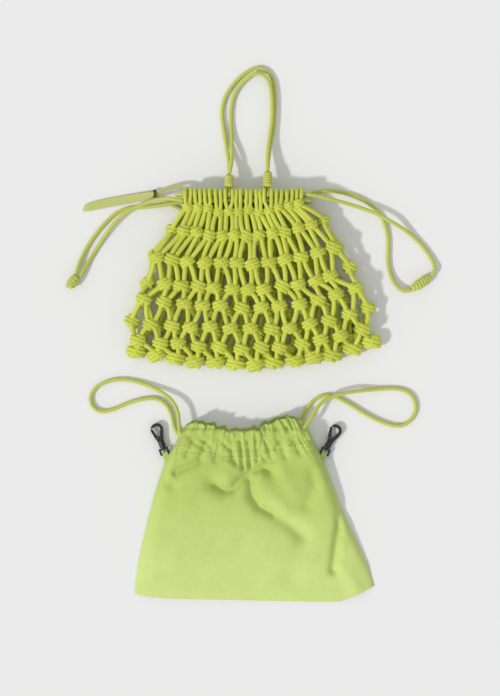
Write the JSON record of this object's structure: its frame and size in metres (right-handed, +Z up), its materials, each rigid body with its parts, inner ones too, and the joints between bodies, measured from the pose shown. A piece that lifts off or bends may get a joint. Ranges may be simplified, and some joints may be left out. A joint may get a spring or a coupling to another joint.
{
  "type": "rope storage bag",
  "caption": "Knotted cord net bag with a drawn-up mouth and a cord handle, and its removable canvas drawstring pouch with snap hooks.",
  "frame": {"origin": "middle of the whole layout on the floor, between the net and the pouch", "axes": "+Z up, +Y from the pouch towards the net and the handle, +X to the right"},
  "size_m": [0.4261, 0.6143, 0.028],
  "materials": {
    "net_cord": "braided cord, slight sheen",
    "drawcord": "fine braided cord",
    "canvas": "plain weave canvas, matte",
    "strap": "smooth flat strap",
    "thread": "waxed thread",
    "black_metal": "black coated, satin",
    "spring_steel": "dark steel"
  },
  "bodies": {
    "net": {"net_row_1_front": "net_cord", "net_row_1_back": "net_cord", "net_row_2_front": "net_cord", "net_row_2_back": "net_cord", "net_row_3_front": "net_cord", "net_row_3_back": "net_cord", "net_row_4_front": "net_cord", "net_row_4_back": "net_cord", "net_row_5_front": "net_cord", "net_row_5_back": "net_cord", "net_row_6_front": "net_cord", "net_row_6_back": "net_cord", "net_row_7_front": "net_cord", "net_row_7_back": "net_cord", "net_bottom_knots": "net_cord", "net_top_loops_front": "net_cord", "net_top_loops_back": "net_cord", "net_drawcord_left": "drawcord", "net_drawcord_right": "drawcord", "net_tail_left_upper": "drawcord", "net_tail_left_lower": "drawcord", "net_tail_right_upper": "drawcord", "net_tail_right_lower": "drawcord", "net_stopper_left": "drawcord", "net_stopper_right": "drawcord", "strap_tag": "strap", "tag_thread": "thread"},
    "handle": {"handle_wrap_left": "drawcord", "handle_wrap_right": "drawcord", "handle_foot_left": "drawcord", "handle_foot_right": "drawcord", "handle_cord_outer": "drawcord", "handle_cord_inner": "drawcord"},
    "pouch": {"pouch_back_panel": "canvas", "pouch_front_panel": "canvas", "pouch_hem_front": "canvas", "pouch_hem_back": "canvas", "pouch_drawcord_left": "drawcord", "pouch_drawcord_right": "drawcord", "pouch_loop_left": "drawcord", "pouch_loop_right": "drawcord", "hook_tab_left": "canvas", "hook_tab_right": "canvas"},
    "hook_eye_left": {"hook_eye_left": "black_metal"},
    "hook_left": {"hook_body_left": "black_metal", "hook_gate_pin_left": "spring_steel", "hook_spring_left": "spring_steel"},
    "hook_gate_left": {"hook_gate_left": "black_metal"},
    "hook_eye_right": {"hook_eye_right": "black_metal"},
    "hook_right": {"hook_body_right": "black_metal", "hook_gate_pin_right": "spring_steel", "hook_spring_right": "spring_steel"},
    "hook_gate_right": {"hook_gate_right": "black_metal"}
  },
  "joints": [
    {"name": "handle_swing", "type": "hinge", "parent": "net", "child": "handle", "pos_m": [0.0205, 0.2195, 0.0223], "axis": [1, 0, 0], "range_deg": [0, 100]},
    {"name": "pouch_lift", "type": "slide", "parent": "net", "child": "pouch", "axis": [0, 0, 1], "range_m": [0, 0.25]},
    {"name": "hook_rock_left", "type": "hinge", "parent": "pouch", "child": "hook_eye_left", "pos_m": [-0.075, -0.077, 0.0042], "axis": [0.9455, 0.3256, 0], "range_deg": [0, 90]},
    {"name": "hook_swivel_left", "type": "hinge", "parent": "hook_eye_left", "child": "hook_left", "pos_m": [-0.07826, -0.06754, 0.0042], "axis": [-0.3256, 0.9455, 0], "continuous": true},
    {"name": "hook_gate_swing_left", "type": "hinge", "parent": "hook_left", "child": "hook_gate_left", "pos_m": [-0.08434, -0.0597, 0.0042], "axis": [0, 0, -1], "range_deg": [0, 20], "stiffness_Nm_per_rad": 0.01, "springref_deg": -11.46, "deforming": ["hook_spring_left"]},
    {"name": "hook_rock_right", "type": "hinge", "parent": "pouch", "child": "hook_eye_right", "pos_m": [0.1075, -0.077, 0.0042], "axis": [0.8988, -0.4384, 0], "range_deg": [0, 90]},
    {"name": "hook_swivel_right", "type": "hinge", "parent": "hook_eye_right", "child": "hook_right", "pos_m": [0.11188, -0.06801, 0.0042], "axis": [0.4384, 0.8988, 0], "continuous": true},
    {"name": "hook_gate_swing_right", "type": "hinge", "parent": "hook_right", "child": "hook_gate_right", "pos_m": [0.11313, -0.05816, 0.0042], "axis": [0, 0, -1], "range_deg": [0, 20], "stiffness_Nm_per_rad": 0.01, "springref_deg": -11.46, "deforming": ["hook_spring_right"]}
  ]
}
